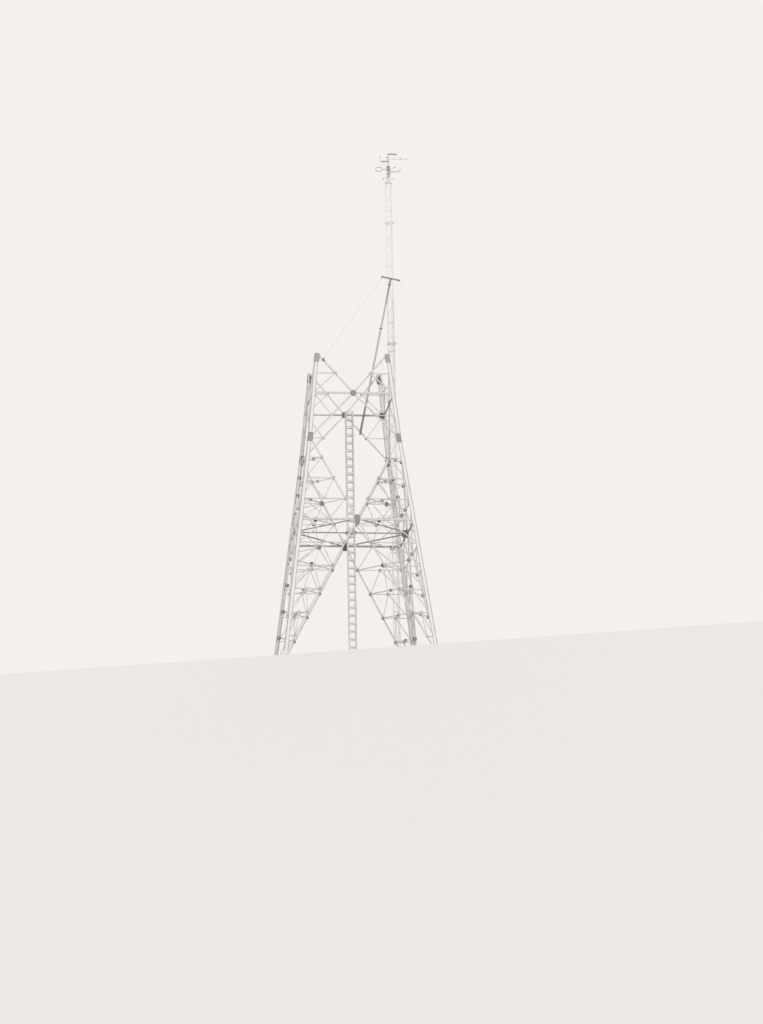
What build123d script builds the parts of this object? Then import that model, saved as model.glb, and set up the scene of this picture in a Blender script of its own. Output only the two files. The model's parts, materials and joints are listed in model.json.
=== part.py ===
from build123d import *
import math
import os

# Lattice radio mast at half size, in millimetres
# The square tower stands on its four base plates, with the origin on its axis at floor level.
# +X is to the right seen from the front, +Y runs to the back face, +Z is up.

os.makedirs("parts", exist_ok=True)

# Heights of the tower above the floor
waist_height = 9190.0
gusset_height = 14810.0
belt_height = 17890.0
horn_height = 20630.0

# Tower plan: the half width at the waist, and how much the faces narrow below and above the leg gussets
half_waist = 3750.0
batter = 0.13
top_batter = 0.10

# Legs of angle section
leg_flange = 250.0
leg_thick = 26.0
leg_plate_width = 330.0
leg_plate_height = 640.0
horn_plate_width = 330.0
horn_plate_height = 640.0
plate_chamfer = 70.0

# Lattice bars of the faces: seen widths, and one common depth
diagonal_width = 105.0
redundant_width = 56.0
bar_depth = 60.0
leg_gap = 100.0
lower_bays = 6
middle_bays = 4
foot_bay_height = 1340.0
diagonal_foot = 225.0

# Belts round the tower
waist_beam_width = 140.0
upper_beam_width = 115.0

# Gusset plates at the middle of each belt
waist_gusset_width = 340.0
waist_gusset_height = 620.0
upper_gusset_width = 330.0
upper_gusset_height = 380.0
gusset_chamfer = 90.0

# Node plates where lattice bars meet, and the hexagonal ones at the middle of the corner ties
node_plate_width = 200.0
node_plate_height = 180.0
tie_plate_size = 220.0
tie_plate_thick = 16.0
tie_plate_chamfer = 55.0
corner_tie_width = 56.0
corner_tie_levels = 4

# Base plates with anchor bolt holes
base_plate_size = 520.0
base_plate_thick = 40.0
anchor_spacing = 380.0
anchor_radius = 14.0

# Plan bracing at the waist
plan_bar_width = 90.0
plan_bar_depth = 60.0
plan_bar_shift = 160.0

# Central shaft
shaft_size = 520.0
shaft_wall = 36.0
shaft_chord = 75.0
shaft_top = 17350.0
shaft_batten = 80.0
shaft_pitch = 525.0
shaft_foot_size = 760.0
shaft_foot_thick = 40.0

# Derrick pole leaning against the back face
pole_foot_x = 1060.0
pole_foot_drop = 1040.0
pole_head_x = 3130.0
pole_head_rise = 6460.0
pole_foot_radius = 72.0
pole_head_radius = 56.0
pole_sides = 16
shoe_height = 130.0
shoe_tang_length = 170.0
shoe_tang_thick = 60.0
cross_head_length = 1300.0
cross_head_size = 90.0
cross_head_end = 140.0
stay_radius = 9.0

# Pulley block below the front left horn
block_size = 170.0
block_thick = 80.0
block_cheek = 18.0
block_bridge = 22.0
block_drop = 490.0
sheave_radius = 56.0
sheave_groove = 10.0
sheave_rim = 8.0
sheave_hub = 18.0
sheave_sides = 16

# Slender antenna mast behind the tower
mast_x = 3600.0
mast_y = 5420.0
mast_side = 490.0
mast_turn = -82.0
mast_wall = 16.0
mast_chord = 62.0
mast_rung = 60.0
mast_pitch = 2010.0
mast_top = 35300.0
mast_foot_size = 800.0
mast_foot_thick = 40.0
lower_collar_height = 23770.0
upper_collar_height = 32400.0
collar_reach = 75.0
collar_thick = 60.0
fit_gap = 0.3
tie_width = 70.0
tie_below_horn = 370.0

# Aerial head, with heights above the top of the antenna mast
core_radius = 100.0
core_sides = 12
core_height = 1200.0
spindle_width = 50.0
spindle_rise = 2120.0
arm_width = 40.0
top_arm_length = 540.0
left_arm_rise = 1530.0
left_arm_length = 520.0
right_arm_rise = 800.0
right_arm_length = 700.0
loop_rise = 950.0
loop_distance = 645.0
loop_width = 520.0
loop_depth = 340.0

faces = {"front": (0, -1), "right": (1, 0), "back": (0, 1), "left": (-1, 0)}
corners = {
    "front_left": (-1, -1),
    "front_right": (1, -1),
    "back_right": (1, 1),
    "back_left": (-1, 1),
}


class Stretch:
    """Straight stretch of the tower's four faces, with one batter from a height upwards."""

    def __init__(self, start_height, start_width, narrowing):
        """Keep the half width at the starting height and what follows from the batter."""
        self.start_height = start_height
        self.start_width = start_width
        self.narrowing = narrowing
        self.slope = math.hypot(1.0, narrowing)
        self.flange_depth = leg_thick / self.slope
        self.layer_depth = leg_thick + bar_depth * self.slope

    def half_width(self, height):
        """Distance from the tower axis to a face at a height."""
        return self.start_width + self.narrowing * (self.start_height - height)

    def leg_line(self, height):
        """Distance from a face's middle line to the middle of the leg's flange."""
        return self.half_width(height) - leg_flange / 2

    def plane(self, outward):
        """Plane of one sloping face: x along the face, y up the slope, z outwards."""
        return Plane(
            origin=(outward[0] * self.start_width, outward[1] * self.start_width, self.start_height),
            x_dir=(-outward[1], outward[0], 0),
            z_dir=(outward[0], outward[1], self.narrowing),
        )

    def bar_plane(self, outward):
        """Plane of the outer side of a face's bars, just inside the leg flanges and plates."""
        return self.plane(outward).offset(-self.flange_depth)

    def on_face(self, across, height, side=1):
        """Point on a face: a distance from its middle line and a height above the floor."""
        return (side * across, (height - self.start_height) * self.slope)


below = Stretch(waist_height, half_waist, batter)
above = Stretch(gusset_height, below.half_width(gusset_height), top_batter)

# Levels of the lattice: where the diagonals pass, below and above the waist
lower_pitch = (waist_height - foot_bay_height) / (lower_bays - 1)
lower_heights = [waist_height - lower_pitch * level for level in range(lower_bays)]
lower_spread = below.leg_line(diagonal_foot) / (waist_height - diagonal_foot)
lower_diagonal = [lower_spread * (waist_height - height) for height in lower_heights]
middle_pitch = (gusset_height - waist_height) / middle_bays
middle_heights = [waist_height + middle_pitch * level for level in range(middle_bays)]
middle_reach = below.leg_line(gusset_height)
middle_diagonal = [middle_reach * level / middle_bays for level in range(middle_bays)]


def bar(start, end, width):
    """Flat bar between two points of the open sketch."""
    run = Vector(*end) - Vector(*start)
    middle = (Vector(*end) + Vector(*start)) / 2
    turn = math.degrees(math.atan2(run.Y, run.X))
    with Locations(Location((middle.X, middle.Y, 0), (0, 0, turn))):
        Rectangle(run.length, width)


def keep_between(stretch, low, high, side):
    """Trim the open sketch to one half of a face, between two heights and short of the leg."""
    with BuildLine() as outline:
        Polyline(
            stretch.on_face(0, low),
            stretch.on_face(stretch.half_width(low) - leg_gap, low, side),
            stretch.on_face(stretch.half_width(high) - leg_gap, high, side),
            stretch.on_face(0, high),
            close=True,
        )
    make_face(outline.edges(), mode=Mode.INTERSECT)


def halfway(across, height):
    """Distance from a face's middle line to midway between its diagonal and its leg."""
    return (across + below.leg_line(height)) / 2


def redundants(across, heights, side, rows):
    """Level bars out to the leg, and the pair of bars that runs from each to the next level."""
    for level in range(1, len(heights)):
        start = below.on_face(across[level], heights[level], side)
        end = below.on_face(below.leg_line(heights[level]), heights[level], side)
        bar(start, end, redundant_width)
    for level in range(rows):
        node = below.on_face(halfway(across[level], heights[level]), heights[level], side)
        beyond = heights[level + 1]
        bar(node, below.on_face(across[level + 1], beyond, side), redundant_width)
        bar(node, below.on_face(below.leg_line(beyond), beyond, side), redundant_width)


def lower_lattice(side):
    """Half of the lattice from the foot of a leg up to the middle of the waist."""
    foot = below.on_face(below.leg_line(diagonal_foot), diagonal_foot, side)
    bar(foot, below.on_face(0, waist_height, side), diagonal_width)
    redundants(lower_diagonal, lower_heights, side, lower_bays - 1)


def middle_lattice(side):
    """Half of the lattice from the middle of the waist out to the leg gusset."""
    head = below.on_face(middle_reach, gusset_height, side)
    bar(below.on_face(0, waist_height, side), head, diagonal_width)
    redundants(middle_diagonal, middle_heights, side, middle_bays - 2)
    last = middle_bays - 1
    under = middle_heights[last - 1]
    bar(
        below.on_face(middle_diagonal[last], middle_heights[last], side),
        below.on_face(below.leg_line(under), under, side),
        redundant_width,
    )


def top_lattice(side):
    """Half of the cross between the leg gussets, the upper belt and the horns."""
    belt_end = above.on_face(above.leg_line(belt_height), belt_height, side)
    for height in (gusset_height, horn_height):
        reach = above.leg_line(height)
        level = (height + belt_height) / 2
        node = above.on_face(reach / 2, level, side)
        bar(above.on_face(0, belt_height, side), above.on_face(reach, height, side), diagonal_width)
        bar(node, above.on_face(above.leg_line(level), level, side), redundant_width)
        bar(node, belt_end, redundant_width)


def cut_corner_plate(width, height, chamfer_size):
    """Rectangular plate with its four corners cut off, in the open sketch."""
    outline = Rectangle(width, height)
    chamfer(outline.vertices(), chamfer_size)


def leg_section(height, side_x, side_y):
    """Angle section of one leg at a height, in the open level sketch."""
    reach = below.half_width(height)
    with BuildLine() as outline:
        Polyline(
            (side_x * reach, side_y * reach),
            (side_x * (reach - leg_flange), side_y * reach),
            (side_x * (reach - leg_flange), side_y * (reach - leg_thick)),
            (side_x * (reach - leg_thick), side_y * (reach - leg_thick)),
            (side_x * (reach - leg_thick), side_y * (reach - leg_flange)),
            (side_x * reach, side_y * (reach - leg_flange)),
            close=True,
        )
    make_face(outline.edges())


def leg_plate(stretch, side, low, high, width, cut_low=True, cut_high=True):
    """Plate from a leg's flange inwards, on the open sketch of a face, cut at its inner corners."""
    with BuildLine() as outline:
        Polyline(
            stretch.on_face(stretch.leg_line(low), low, side),
            stretch.on_face(stretch.half_width(low) - width, low, side),
            stretch.on_face(stretch.half_width(high) - width, high, side),
            stretch.on_face(stretch.leg_line(high), high, side),
            close=True,
        )
    plate = make_face(outline.edges())
    inner = sorted(plate.vertices(), key=lambda corner: abs(corner.X))[:2]
    inner.sort(key=lambda corner: corner.Y)
    wanted = [corner for corner, cut in zip(inner, (cut_low, cut_high)) if cut]
    chamfer(wanted, plate_chamfer)


def mast_triangle(grow):
    """Triangle of the antenna mast's outer faces, moved outwards by a distance."""
    with Locations((mast_x, mast_y)):
        RegularPolygon(mast_radius + 2 * grow, 3, rotation=mast_turn)


# Base plates: one under each leg with two anchor holes, one under the shaft, one under the mast
plate_offset = below.leg_line(base_plate_thick)
with BuildPart() as base_plates:
    with BuildSketch():
        with Locations(*[(x * plate_offset, y * plate_offset) for x, y in corners.values()]):
            Rectangle(base_plate_size, base_plate_size)
            with GridLocations(anchor_spacing, 0, 2, 1):
                Circle(anchor_radius, mode=Mode.SUBTRACT)
    extrude(amount=base_plate_thick)
    with BuildSketch():
        Rectangle(shaft_foot_size, shaft_foot_size)
    extrude(amount=shaft_foot_thick)
    with BuildSketch():
        with Locations((mast_x, mast_y)):
            Rectangle(mast_foot_size, mast_foot_size)
    extrude(amount=mast_foot_thick)
base_plates.part.label = "base_plates"
export_step(base_plates.part, "parts/base_plates.step")

# Legs, leaning less above their gussets, with bent gusset plates and horn plates
gusset_low = gusset_height - leg_plate_height / 2
gusset_high = gusset_height + leg_plate_height / 2
horn_plate_low = horn_height - horn_plate_height
for name, (side_x, side_y) in corners.items():
    with BuildPart() as leg:
        for stretch, start, end in (
            (below, base_plate_thick, gusset_height),
            (above, gusset_height, horn_height),
        ):
            lean = stretch.narrowing
            with BuildSketch(Plane.XY.offset(start)):
                leg_section(start, side_x, side_y)
            extrude(
                amount=(end - start) * math.sqrt(1 + 2 * lean**2),
                dir=(-side_x * lean, -side_y * lean, 1),
            )
        for outward in ((side_x, 0), (0, side_y)):
            side = side_y * outward[0] - side_x * outward[1]
            inwards = (-outward[0], -outward[1], 0)
            with BuildSketch(below.plane(outward)):
                leg_plate(below, side, gusset_low, gusset_height, leg_plate_width, cut_high=False)
            extrude(amount=leg_thick, dir=inwards)
            with BuildSketch(above.plane(outward)):
                leg_plate(above, side, gusset_height, gusset_high, leg_plate_width, cut_low=False)
                leg_plate(above, side, horn_plate_low, horn_height, horn_plate_width)
            extrude(amount=leg_thick, dir=inwards)
    leg.part.label = f"{name}_leg"
    export_step(leg.part, f"parts/{name}_leg.step")

# Lattice and belts of the four faces
waist_low = waist_height - waist_beam_width / 2
waist_high = waist_height + waist_beam_width / 2
belt_low = belt_height - upper_beam_width / 2
belt_high = belt_height + upper_beam_width / 2
lattice_foot = base_plate_thick + batter * below.layer_depth
for face, outward in faces.items():
    for hand, side in (("left", -1), ("right", 1)):
        with BuildPart() as lower:
            with BuildSketch(below.bar_plane(outward)):
                lower_lattice(side)
                keep_between(below, lattice_foot, waist_low, side)
            extrude(amount=-bar_depth)
        lower.part.label = f"{face}_lower_{hand}_bracing"
        export_step(lower.part, f"parts/{face}_lower_{hand}_bracing.step")

        with BuildPart() as middle:
            with BuildSketch(below.bar_plane(outward)):
                middle_lattice(side)
                keep_between(below, waist_high, gusset_height, side)
            extrude(amount=-bar_depth)
        middle.part.label = f"{face}_middle_{hand}_bracing"
        export_step(middle.part, f"parts/{face}_middle_{hand}_bracing.step")

        with BuildPart() as top:
            for low, high in ((gusset_height, belt_low), (belt_high, horn_height)):
                with BuildSketch(above.bar_plane(outward)):
                    top_lattice(side)
                    keep_between(above, low, high, side)
                extrude(amount=-bar_depth)
        top.part.label = f"{face}_top_{hand}_bracing"
        export_step(top.part, f"parts/{face}_top_{hand}_bracing.step")

    for level, stretch, low, high in (
        ("waist", below, waist_low, waist_high),
        ("upper", above, belt_low, belt_high),
    ):
        low_reach = stretch.half_width(low) - leg_gap
        high_reach = stretch.half_width(high) - leg_gap
        with BuildPart() as beam:
            with BuildSketch(stretch.bar_plane(outward)):
                with BuildLine():
                    Polyline(
                        stretch.on_face(low_reach, low, -1),
                        stretch.on_face(low_reach, low),
                        stretch.on_face(high_reach, high),
                        stretch.on_face(high_reach, high, -1),
                        close=True,
                    )
                make_face()
            extrude(amount=-bar_depth)
        beam.part.label = f"{face}_{level}_beam"
        export_step(beam.part, f"parts/{face}_{level}_beam.step")

# Gusset plates over the crossings at the middle of each belt
for level, stretch, height, width, tall in (
    ("waist", below, waist_height, waist_gusset_width, waist_gusset_height),
    ("upper", above, belt_height, upper_gusset_width, upper_gusset_height),
):
    with BuildPart() as gussets:
        for outward in faces.values():
            with BuildSketch(stretch.plane(outward)):
                with Locations(stretch.on_face(0, height)):
                    cut_corner_plate(width, tall, gusset_chamfer)
            extrude(amount=-stretch.flange_depth)
    gussets.part.label = f"{level}_gussets"
    export_step(gussets.part, f"parts/{level}_gussets.step")

# Node plates over the meetings of the lattice bars
lower_nodes = list(zip(lower_diagonal, lower_heights))[1:]
lower_nodes += [(halfway(*node), node[1]) for node in zip(lower_diagonal[:-1], lower_heights)]
middle_nodes = list(zip(middle_diagonal, middle_heights))[1:]
middle_nodes.append((halfway(middle_diagonal[1], middle_heights[1]), middle_heights[1]))
top_nodes = [
    (above.leg_line(height) / 2, (height + belt_height) / 2) for height in (gusset_height, horn_height)
]
with BuildPart() as node_plates:
    for outward in faces.values():
        for stretch, nodes in ((below, lower_nodes + middle_nodes), (above, top_nodes)):
            with BuildSketch(stretch.plane(outward)):
                for side in (-1, 1):
                    with Locations(*[stretch.on_face(*node, side) for node in nodes]):
                        Rectangle(node_plate_width, node_plate_height)
            extrude(amount=-stretch.flange_depth)
node_plates.part.label = "node_plates"
export_step(node_plates.part, "parts/node_plates.step")

# Corner ties: level bars across each corner between the diagonals of two faces, with a plate midway
tie_nodes = list(zip(lower_diagonal, lower_heights))[1:corner_tie_levels + 1]
tie_nodes += list(zip(middle_diagonal, middle_heights))[1:]
with BuildPart() as corner_ties:
    for across, height in tie_nodes:
        inner = below.half_width(height + redundant_width / 2) - below.layer_depth
        beyond = inner + corner_tie_width
        start = across - corner_tie_width
        with BuildSketch(Plane.XY.offset(height - redundant_width / 2)):
            for side_x, side_y in corners.values():
                bar((side_x * start, side_y * beyond), (side_x * beyond, side_y * start), corner_tie_width)
            Rectangle(2 * inner, 2 * inner, mode=Mode.INTERSECT)
        extrude(amount=redundant_width)
        midway = (across + inner) / 2
        for side_x, side_y in corners.values():
            plate_plane = Plane(
                origin=(side_x * midway, side_y * midway, height), z_dir=(side_x, side_y, 0)
            )
            with BuildSketch(plate_plane.offset(corner_tie_width / 2)):
                cut_corner_plate(tie_plate_size, tie_plate_size, tie_plate_chamfer)
            extrude(amount=tie_plate_thick)
corner_ties.part.label = "corner_ties"
export_step(corner_ties.part, "parts/corner_ties.step")

# Plan bracing at the waist: four struts round the axis, and a tie that holds the shaft in a collar
plan_low = waist_height - plan_bar_depth / 2
plan_high = waist_height + plan_bar_depth / 2
plan_reach = below.half_width(plan_high) - below.layer_depth
with BuildPart() as waist_plan_bracing:
    with BuildSketch(Plane.XY.offset(plan_low)):
        for side_x, side_y in corners.values():
            near = plan_bar_shift - plan_bar_width
            far = plan_reach + plan_bar_width
            bar((side_x * near, side_y * far), (side_x * far, side_y * near), plan_bar_width)
        Rectangle(2 * plan_reach, 2 * plan_reach, mode=Mode.INTERSECT)
        Rectangle(2 * plan_reach, plan_bar_width)
        Rectangle(shaft_size + 2 * plan_bar_width, shaft_size + 2 * plan_bar_width)
        Rectangle(shaft_size + 2 * fit_gap, shaft_size + 2 * fit_gap, mode=Mode.SUBTRACT)
    extrude(amount=plan_bar_depth)
waist_plan_bracing.part.label = "waist_plan_bracing"
export_step(waist_plan_bracing.part, "parts/waist_plan_bracing.step")

# Central shaft: a square latticed column of four angles and battens
shaft_bays = int((shaft_top - shaft_foot_thick) // shaft_pitch)
with BuildPart() as central_shaft:
    with BuildSketch(Plane.XY.offset(shaft_foot_thick)):
        Rectangle(shaft_size, shaft_size)
        offset(amount=-shaft_wall, mode=Mode.SUBTRACT)
    extrude(amount=shaft_top - shaft_foot_thick)
    for plane in (Plane.XZ, Plane.YZ):
        with BuildSketch(plane):
            for bay in range(shaft_bays):
                with Locations((0, shaft_top - shaft_pitch * (bay + 0.5))):
                    Rectangle(shaft_size - 2 * shaft_chord, shaft_pitch - shaft_batten)
        extrude(amount=shaft_size, both=True, mode=Mode.SUBTRACT)
central_shaft.part.label = "central_shaft"
export_step(central_shaft.part, "parts/central_shaft.step")


# Derrick pole, in a plane parallel to the back face and just inside it
def inside_back(height):
    """Y of the pole's axis where the pole lies against the inner side of the back face."""
    return above.half_width(height) - above.layer_depth - (pole_foot_radius + fit_gap) * above.slope


def pole_section(radius):
    """Many-sided section of the pole, with one flat side against the back face."""
    RegularPolygon(radius, pole_sides, major_radius=False, rotation=180 / pole_sides)


pole_foot_height = belt_height - pole_foot_drop
pole_head_height = horn_height + pole_head_rise
pole_foot = Vector(pole_foot_x, inside_back(pole_foot_height), pole_foot_height)
pole_head = Vector(pole_head_x, inside_back(pole_head_height), pole_head_height)
pole_run = pole_head - pole_foot
pole_plane = Plane(origin=pole_foot, x_dir=(1, 0, -pole_run.X / pole_run.Z), z_dir=pole_run)
head_plane = pole_plane.offset(pole_run.length)
with BuildPart() as derrick_pole:
    for plane, radius in ((pole_plane, pole_foot_radius), (head_plane, pole_head_radius)):
        with BuildSketch(plane):
            pole_section(radius)
    loft()
derrick_pole.part.label = "derrick_pole"
export_step(derrick_pole.part, "parts/derrick_pole.step")

# Shoe of the pole: a cup below its foot, with a tang bolted to the lattice
with BuildPart() as derrick_shoe:
    with BuildSketch(pole_plane):
        pole_section(pole_foot_radius)
    extrude(amount=-shoe_height)
    with BuildSketch(pole_plane.offset(-shoe_height)):
        Rectangle(2 * shoe_tang_thick, shoe_tang_thick)
    extrude(amount=-shoe_tang_length)
derrick_shoe.part.label = "derrick_shoe"
export_step(derrick_shoe.part, "parts/derrick_shoe.step")

# Cross head on top of the pole, with a thickened end at either side
with BuildPart() as derrick_head:
    with BuildSketch(head_plane):
        Rectangle(cross_head_length, cross_head_size)
        with GridLocations(cross_head_length - cross_head_end, 0, 2, 1):
            Rectangle(cross_head_end, cross_head_end)
    extrude(amount=cross_head_size)
derrick_head.part.label = "derrick_head"
export_step(derrick_head.part, "parts/derrick_head.step")

# Pulley block on the diagonal below the front left horn: a frame of two cheeks, and its sheave
front_plane = above.plane(faces["front"])
block_height = horn_height - block_drop
block_across = above.leg_line(horn_height) * (block_height - belt_height) / (horn_height - belt_height)
block_spot = above.on_face(block_across, block_height, -1)
sheave_space = block_thick - 2 * block_cheek
with BuildPart() as stay_block:
    with BuildSketch(front_plane.offset(-above.flange_depth)):
        with Locations(block_spot):
            Rectangle(block_size, block_size)
    extrude(amount=block_thick)
    with BuildSketch(front_plane.offset(block_cheek - above.flange_depth)):
        with Locations(block_spot):
            Rectangle(block_size, block_size - 2 * block_bridge)
    extrude(amount=sheave_space, mode=Mode.SUBTRACT)
stay_block.part.label = "stay_block"
export_step(stay_block.part, "parts/stay_block.step")

sheave_middle = front_plane.offset(block_thick / 2 - above.flange_depth)
with BuildPart() as block_sheave:
    for radius, width in (
        (sheave_hub, sheave_space - 2 * fit_gap),
        (sheave_radius - sheave_groove, sheave_space - 2 * sheave_rim),
    ):
        with BuildSketch(sheave_middle):
            with Locations(block_spot):
                RegularPolygon(radius, sheave_sides)
        extrude(amount=width / 2, both=True)
    rim_shift = sheave_space / 2 - 2 * sheave_rim
    for shift, thick in ((rim_shift, sheave_rim), (-rim_shift, -sheave_rim)):
        with BuildSketch(sheave_middle.offset(shift)):
            with Locations(block_spot):
                RegularPolygon(sheave_radius, sheave_sides)
        extrude(amount=thick)
block_sheave.part.label = "block_sheave"
export_step(block_sheave.part, "parts/block_sheave.step")

# Stay from the pulley block up to the left end of the cross head
stay_foot = front_plane.from_local_coords(
    Vector(block_spot[0], block_spot[1] + block_size / 2, block_thick / 2 - above.flange_depth)
)
stay_head = head_plane.from_local_coords(Vector(-(cross_head_length - cross_head_end) / 2, 0, 0))
stay_line = (stay_head - stay_foot).normalized()


def stand_off(surface_normal):
    """Shift that brings the stay's square-cut end against a flat surface."""
    tilt = math.sqrt(1 - stay_line.dot(surface_normal) ** 2)
    return surface_normal * (stay_radius * tilt + fit_gap)


stay_foot += stand_off(front_plane.y_dir)
stay_head -= stand_off(head_plane.z_dir)
stay_run = stay_head - stay_foot
with BuildPart() as derrick_stay:
    with BuildSketch(Plane(origin=stay_foot, z_dir=stay_run)):
        RegularPolygon(stay_radius, 8)
    extrude(amount=stay_run.length)
derrick_stay.part.label = "derrick_stay"
export_step(derrick_stay.part, "parts/derrick_stay.step")

# Slender antenna mast: three angles and rungs
mast_radius = mast_side / math.sqrt(3)
mast_bays = int((mast_top - mast_foot_thick) // mast_pitch)
with BuildPart() as antenna_mast:
    with BuildSketch(Plane.XY.offset(mast_foot_thick)):
        mast_triangle(0)
        with Locations((mast_x, mast_y)):
            RegularPolygon(
                mast_radius - 2 * mast_wall, 3, rotation=mast_turn, mode=Mode.SUBTRACT
            )
    extrude(amount=mast_top - mast_foot_thick)
    for turn in (0, 120, 240):
        aim = math.radians(mast_turn + 180 + turn)
        side_plane = Plane(
            origin=(
                mast_x + mast_radius / 2 * math.cos(aim),
                mast_y + mast_radius / 2 * math.sin(aim),
                0,
            ),
            x_dir=(-math.sin(aim), math.cos(aim), 0),
            z_dir=(math.cos(aim), math.sin(aim), 0),
        )
        with BuildSketch(side_plane):
            for bay in range(mast_bays):
                with Locations((0, mast_top - mast_pitch * (bay + 0.5))):
                    Rectangle(mast_side - 2 * mast_chord, mast_pitch - mast_rung)
        extrude(amount=-1.5 * mast_wall, mode=Mode.SUBTRACT)
antenna_mast.part.label = "antenna_mast"
export_step(antenna_mast.part, "parts/antenna_mast.step")

# Collars round the antenna mast
with BuildPart() as mast_collars:
    for height in (lower_collar_height, upper_collar_height):
        with BuildSketch(Plane.XY.offset(height - collar_thick / 2)):
            with Locations((mast_x, mast_y)):
                RegularPolygon(mast_radius + collar_reach, 6, rotation=mast_turn)
                RegularPolygon(
                    mast_radius + 2 * fit_gap, 3, rotation=mast_turn, mode=Mode.SUBTRACT
                )
        extrude(amount=collar_thick)
mast_collars.part.label = "mast_collars"
export_step(mast_collars.part, "parts/mast_collars.step")

# Ties that hold the antenna mast to the back right leg
with BuildPart() as mast_ties:
    for stretch, height in (
        (below, waist_height),
        (above, belt_height),
        (above, horn_height - tie_below_horn),
    ):
        low = height - tie_width / 2
        face_y = stretch.half_width(low)
        with BuildSketch(Plane.XY.offset(low)):
            bar((stretch.leg_line(height), face_y - tie_width), (mast_x, mast_y), tie_width)
            mast_triangle(tie_width / 2)
            with Locations((mast_x, face_y + mast_y)):
                Rectangle(4 * mast_x, 2 * mast_y, mode=Mode.INTERSECT)
            with Locations((mast_x, mast_y)):
                RegularPolygon(
                    mast_radius + 2 * fit_gap, 3, rotation=mast_turn, mode=Mode.SUBTRACT
                )
        extrude(amount=tie_width)
mast_ties.part.label = "mast_ties"
export_step(mast_ties.part, "parts/mast_ties.step")

# Aerial head: a core on the mast top, a spindle, arms and a loop
aerial_plane = Plane(origin=(mast_x, mast_y, mast_top), x_dir=(1, 0, 0), z_dir=(0, -1, 0))
with BuildPart() as aerial_head:
    with BuildSketch(Plane.XY.offset(mast_top)):
        with Locations((mast_x, mast_y)):
            RegularPolygon(core_radius, core_sides)
    extrude(amount=core_height)
    with BuildSketch(Plane.XY.offset(mast_top)):
        mast_triangle(0)
    extrude(amount=spindle_width)
    with BuildSketch(aerial_plane):
        bar((0, core_height), (0, spindle_rise), spindle_width)
        top_arm = spindle_rise - arm_width / 2
        bar((-spindle_width, top_arm), (top_arm_length, top_arm), arm_width)
        bar((-left_arm_length, left_arm_rise), (spindle_width, left_arm_rise), arm_width)
        bar((0, right_arm_rise), (right_arm_length, right_arm_rise), arm_width)
        bar((-loop_distance, loop_rise), (0, loop_rise), arm_width)
        with Locations((-loop_distance, loop_rise)):
            Ellipse(loop_width / 2, loop_depth / 2)
            Ellipse(loop_width / 2 - arm_width, loop_depth / 2 - arm_width, mode=Mode.SUBTRACT)
    extrude(amount=arm_width / 2, both=True)
aerial_head.part.label = "aerial_head"
export_step(aerial_head.part, "parts/aerial_head.step")
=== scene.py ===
"""Looks of the lattice radio mast: finishes, rivets, lacing, fittings, light and camera."""

import json
import logging
import math
from contextlib import contextmanager
from dataclasses import dataclass, field
from enum import Enum
from functools import cache
from itertools import product
from typing import Callable, Iterator, Sequence

import bpy
import numpy as np
from mathutils import Matrix, Vector


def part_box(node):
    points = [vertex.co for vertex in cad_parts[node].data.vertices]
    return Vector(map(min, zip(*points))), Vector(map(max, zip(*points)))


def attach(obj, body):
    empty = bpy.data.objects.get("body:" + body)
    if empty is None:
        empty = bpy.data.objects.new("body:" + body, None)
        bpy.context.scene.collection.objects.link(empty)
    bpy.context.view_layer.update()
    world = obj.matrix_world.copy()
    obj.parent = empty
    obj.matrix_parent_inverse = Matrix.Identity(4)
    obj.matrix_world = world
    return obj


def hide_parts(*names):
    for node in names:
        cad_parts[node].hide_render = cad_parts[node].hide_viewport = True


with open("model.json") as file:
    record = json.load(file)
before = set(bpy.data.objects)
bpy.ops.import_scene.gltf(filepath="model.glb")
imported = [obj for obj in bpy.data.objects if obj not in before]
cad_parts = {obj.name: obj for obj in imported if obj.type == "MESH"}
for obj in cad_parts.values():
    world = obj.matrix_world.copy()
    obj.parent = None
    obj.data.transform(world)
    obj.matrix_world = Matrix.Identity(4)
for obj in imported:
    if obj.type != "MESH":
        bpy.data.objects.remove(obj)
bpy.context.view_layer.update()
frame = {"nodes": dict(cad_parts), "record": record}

LOG = logging.getLogger("radio_mast")
BODY = "root"
SIDES = (-1, 1)
UP = Vector((0.0, 0.0, 1.0))
HALF_TURN = Matrix.Rotation(math.pi, 4, "Y")
QUARTER_TURN = Matrix.Rotation(math.pi / 2, 4, "Y")
WARM_PARTS = (0.62, -0.38, -0.2)
PARALLEL = 0.999
RIVET_FLATNESS = 0.7
moved = Matrix.Translation

Piece = bpy.types.Object
Socket = bpy.types.NodeSocket
Material = bpy.types.Material
Inputs = dict[str | int, object]
Colour = tuple[float, float, float, float]
Pair = tuple[float, float]
Spot = Pair


class Face(Enum):
    """The four faces of the tower, each with the way it looks out."""

    FRONT = (0, -1)
    RIGHT = (1, 0)
    BACK = (0, 1)
    LEFT = (-1, 0)

    @property
    def outward(self) -> Vector:
        """Level way out of the face."""
        return Vector((*self.value, 0.0))

    @property
    def along(self) -> Vector:
        """Level way along the face, to the right as seen from outside."""
        return UP.cross(self.outward)


class Corner(Enum):
    """The four legs of the tower, each with the signs of its X and Y."""

    FRONT_LEFT = (-1, -1)
    FRONT_RIGHT = (1, -1)
    BACK_RIGHT = (1, 1)
    BACK_LEFT = (-1, 1)

    def point(self, x: float, y: float, height: float) -> Vector:
        """Point at a distance from the axis in X and in Y, on this corner's side."""
        return Vector((self.value[0] * x, self.value[1] * y, height))


def frame_at(along: Vector, outward: Vector, spot: Vector) -> Matrix:
    """Frame of a fitting at a spot, with X along and Z outwards, square to each other."""
    turn = Matrix((along, outward.cross(along), outward)).transposed()
    return moved(spot) @ turn.to_4x4()


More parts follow.
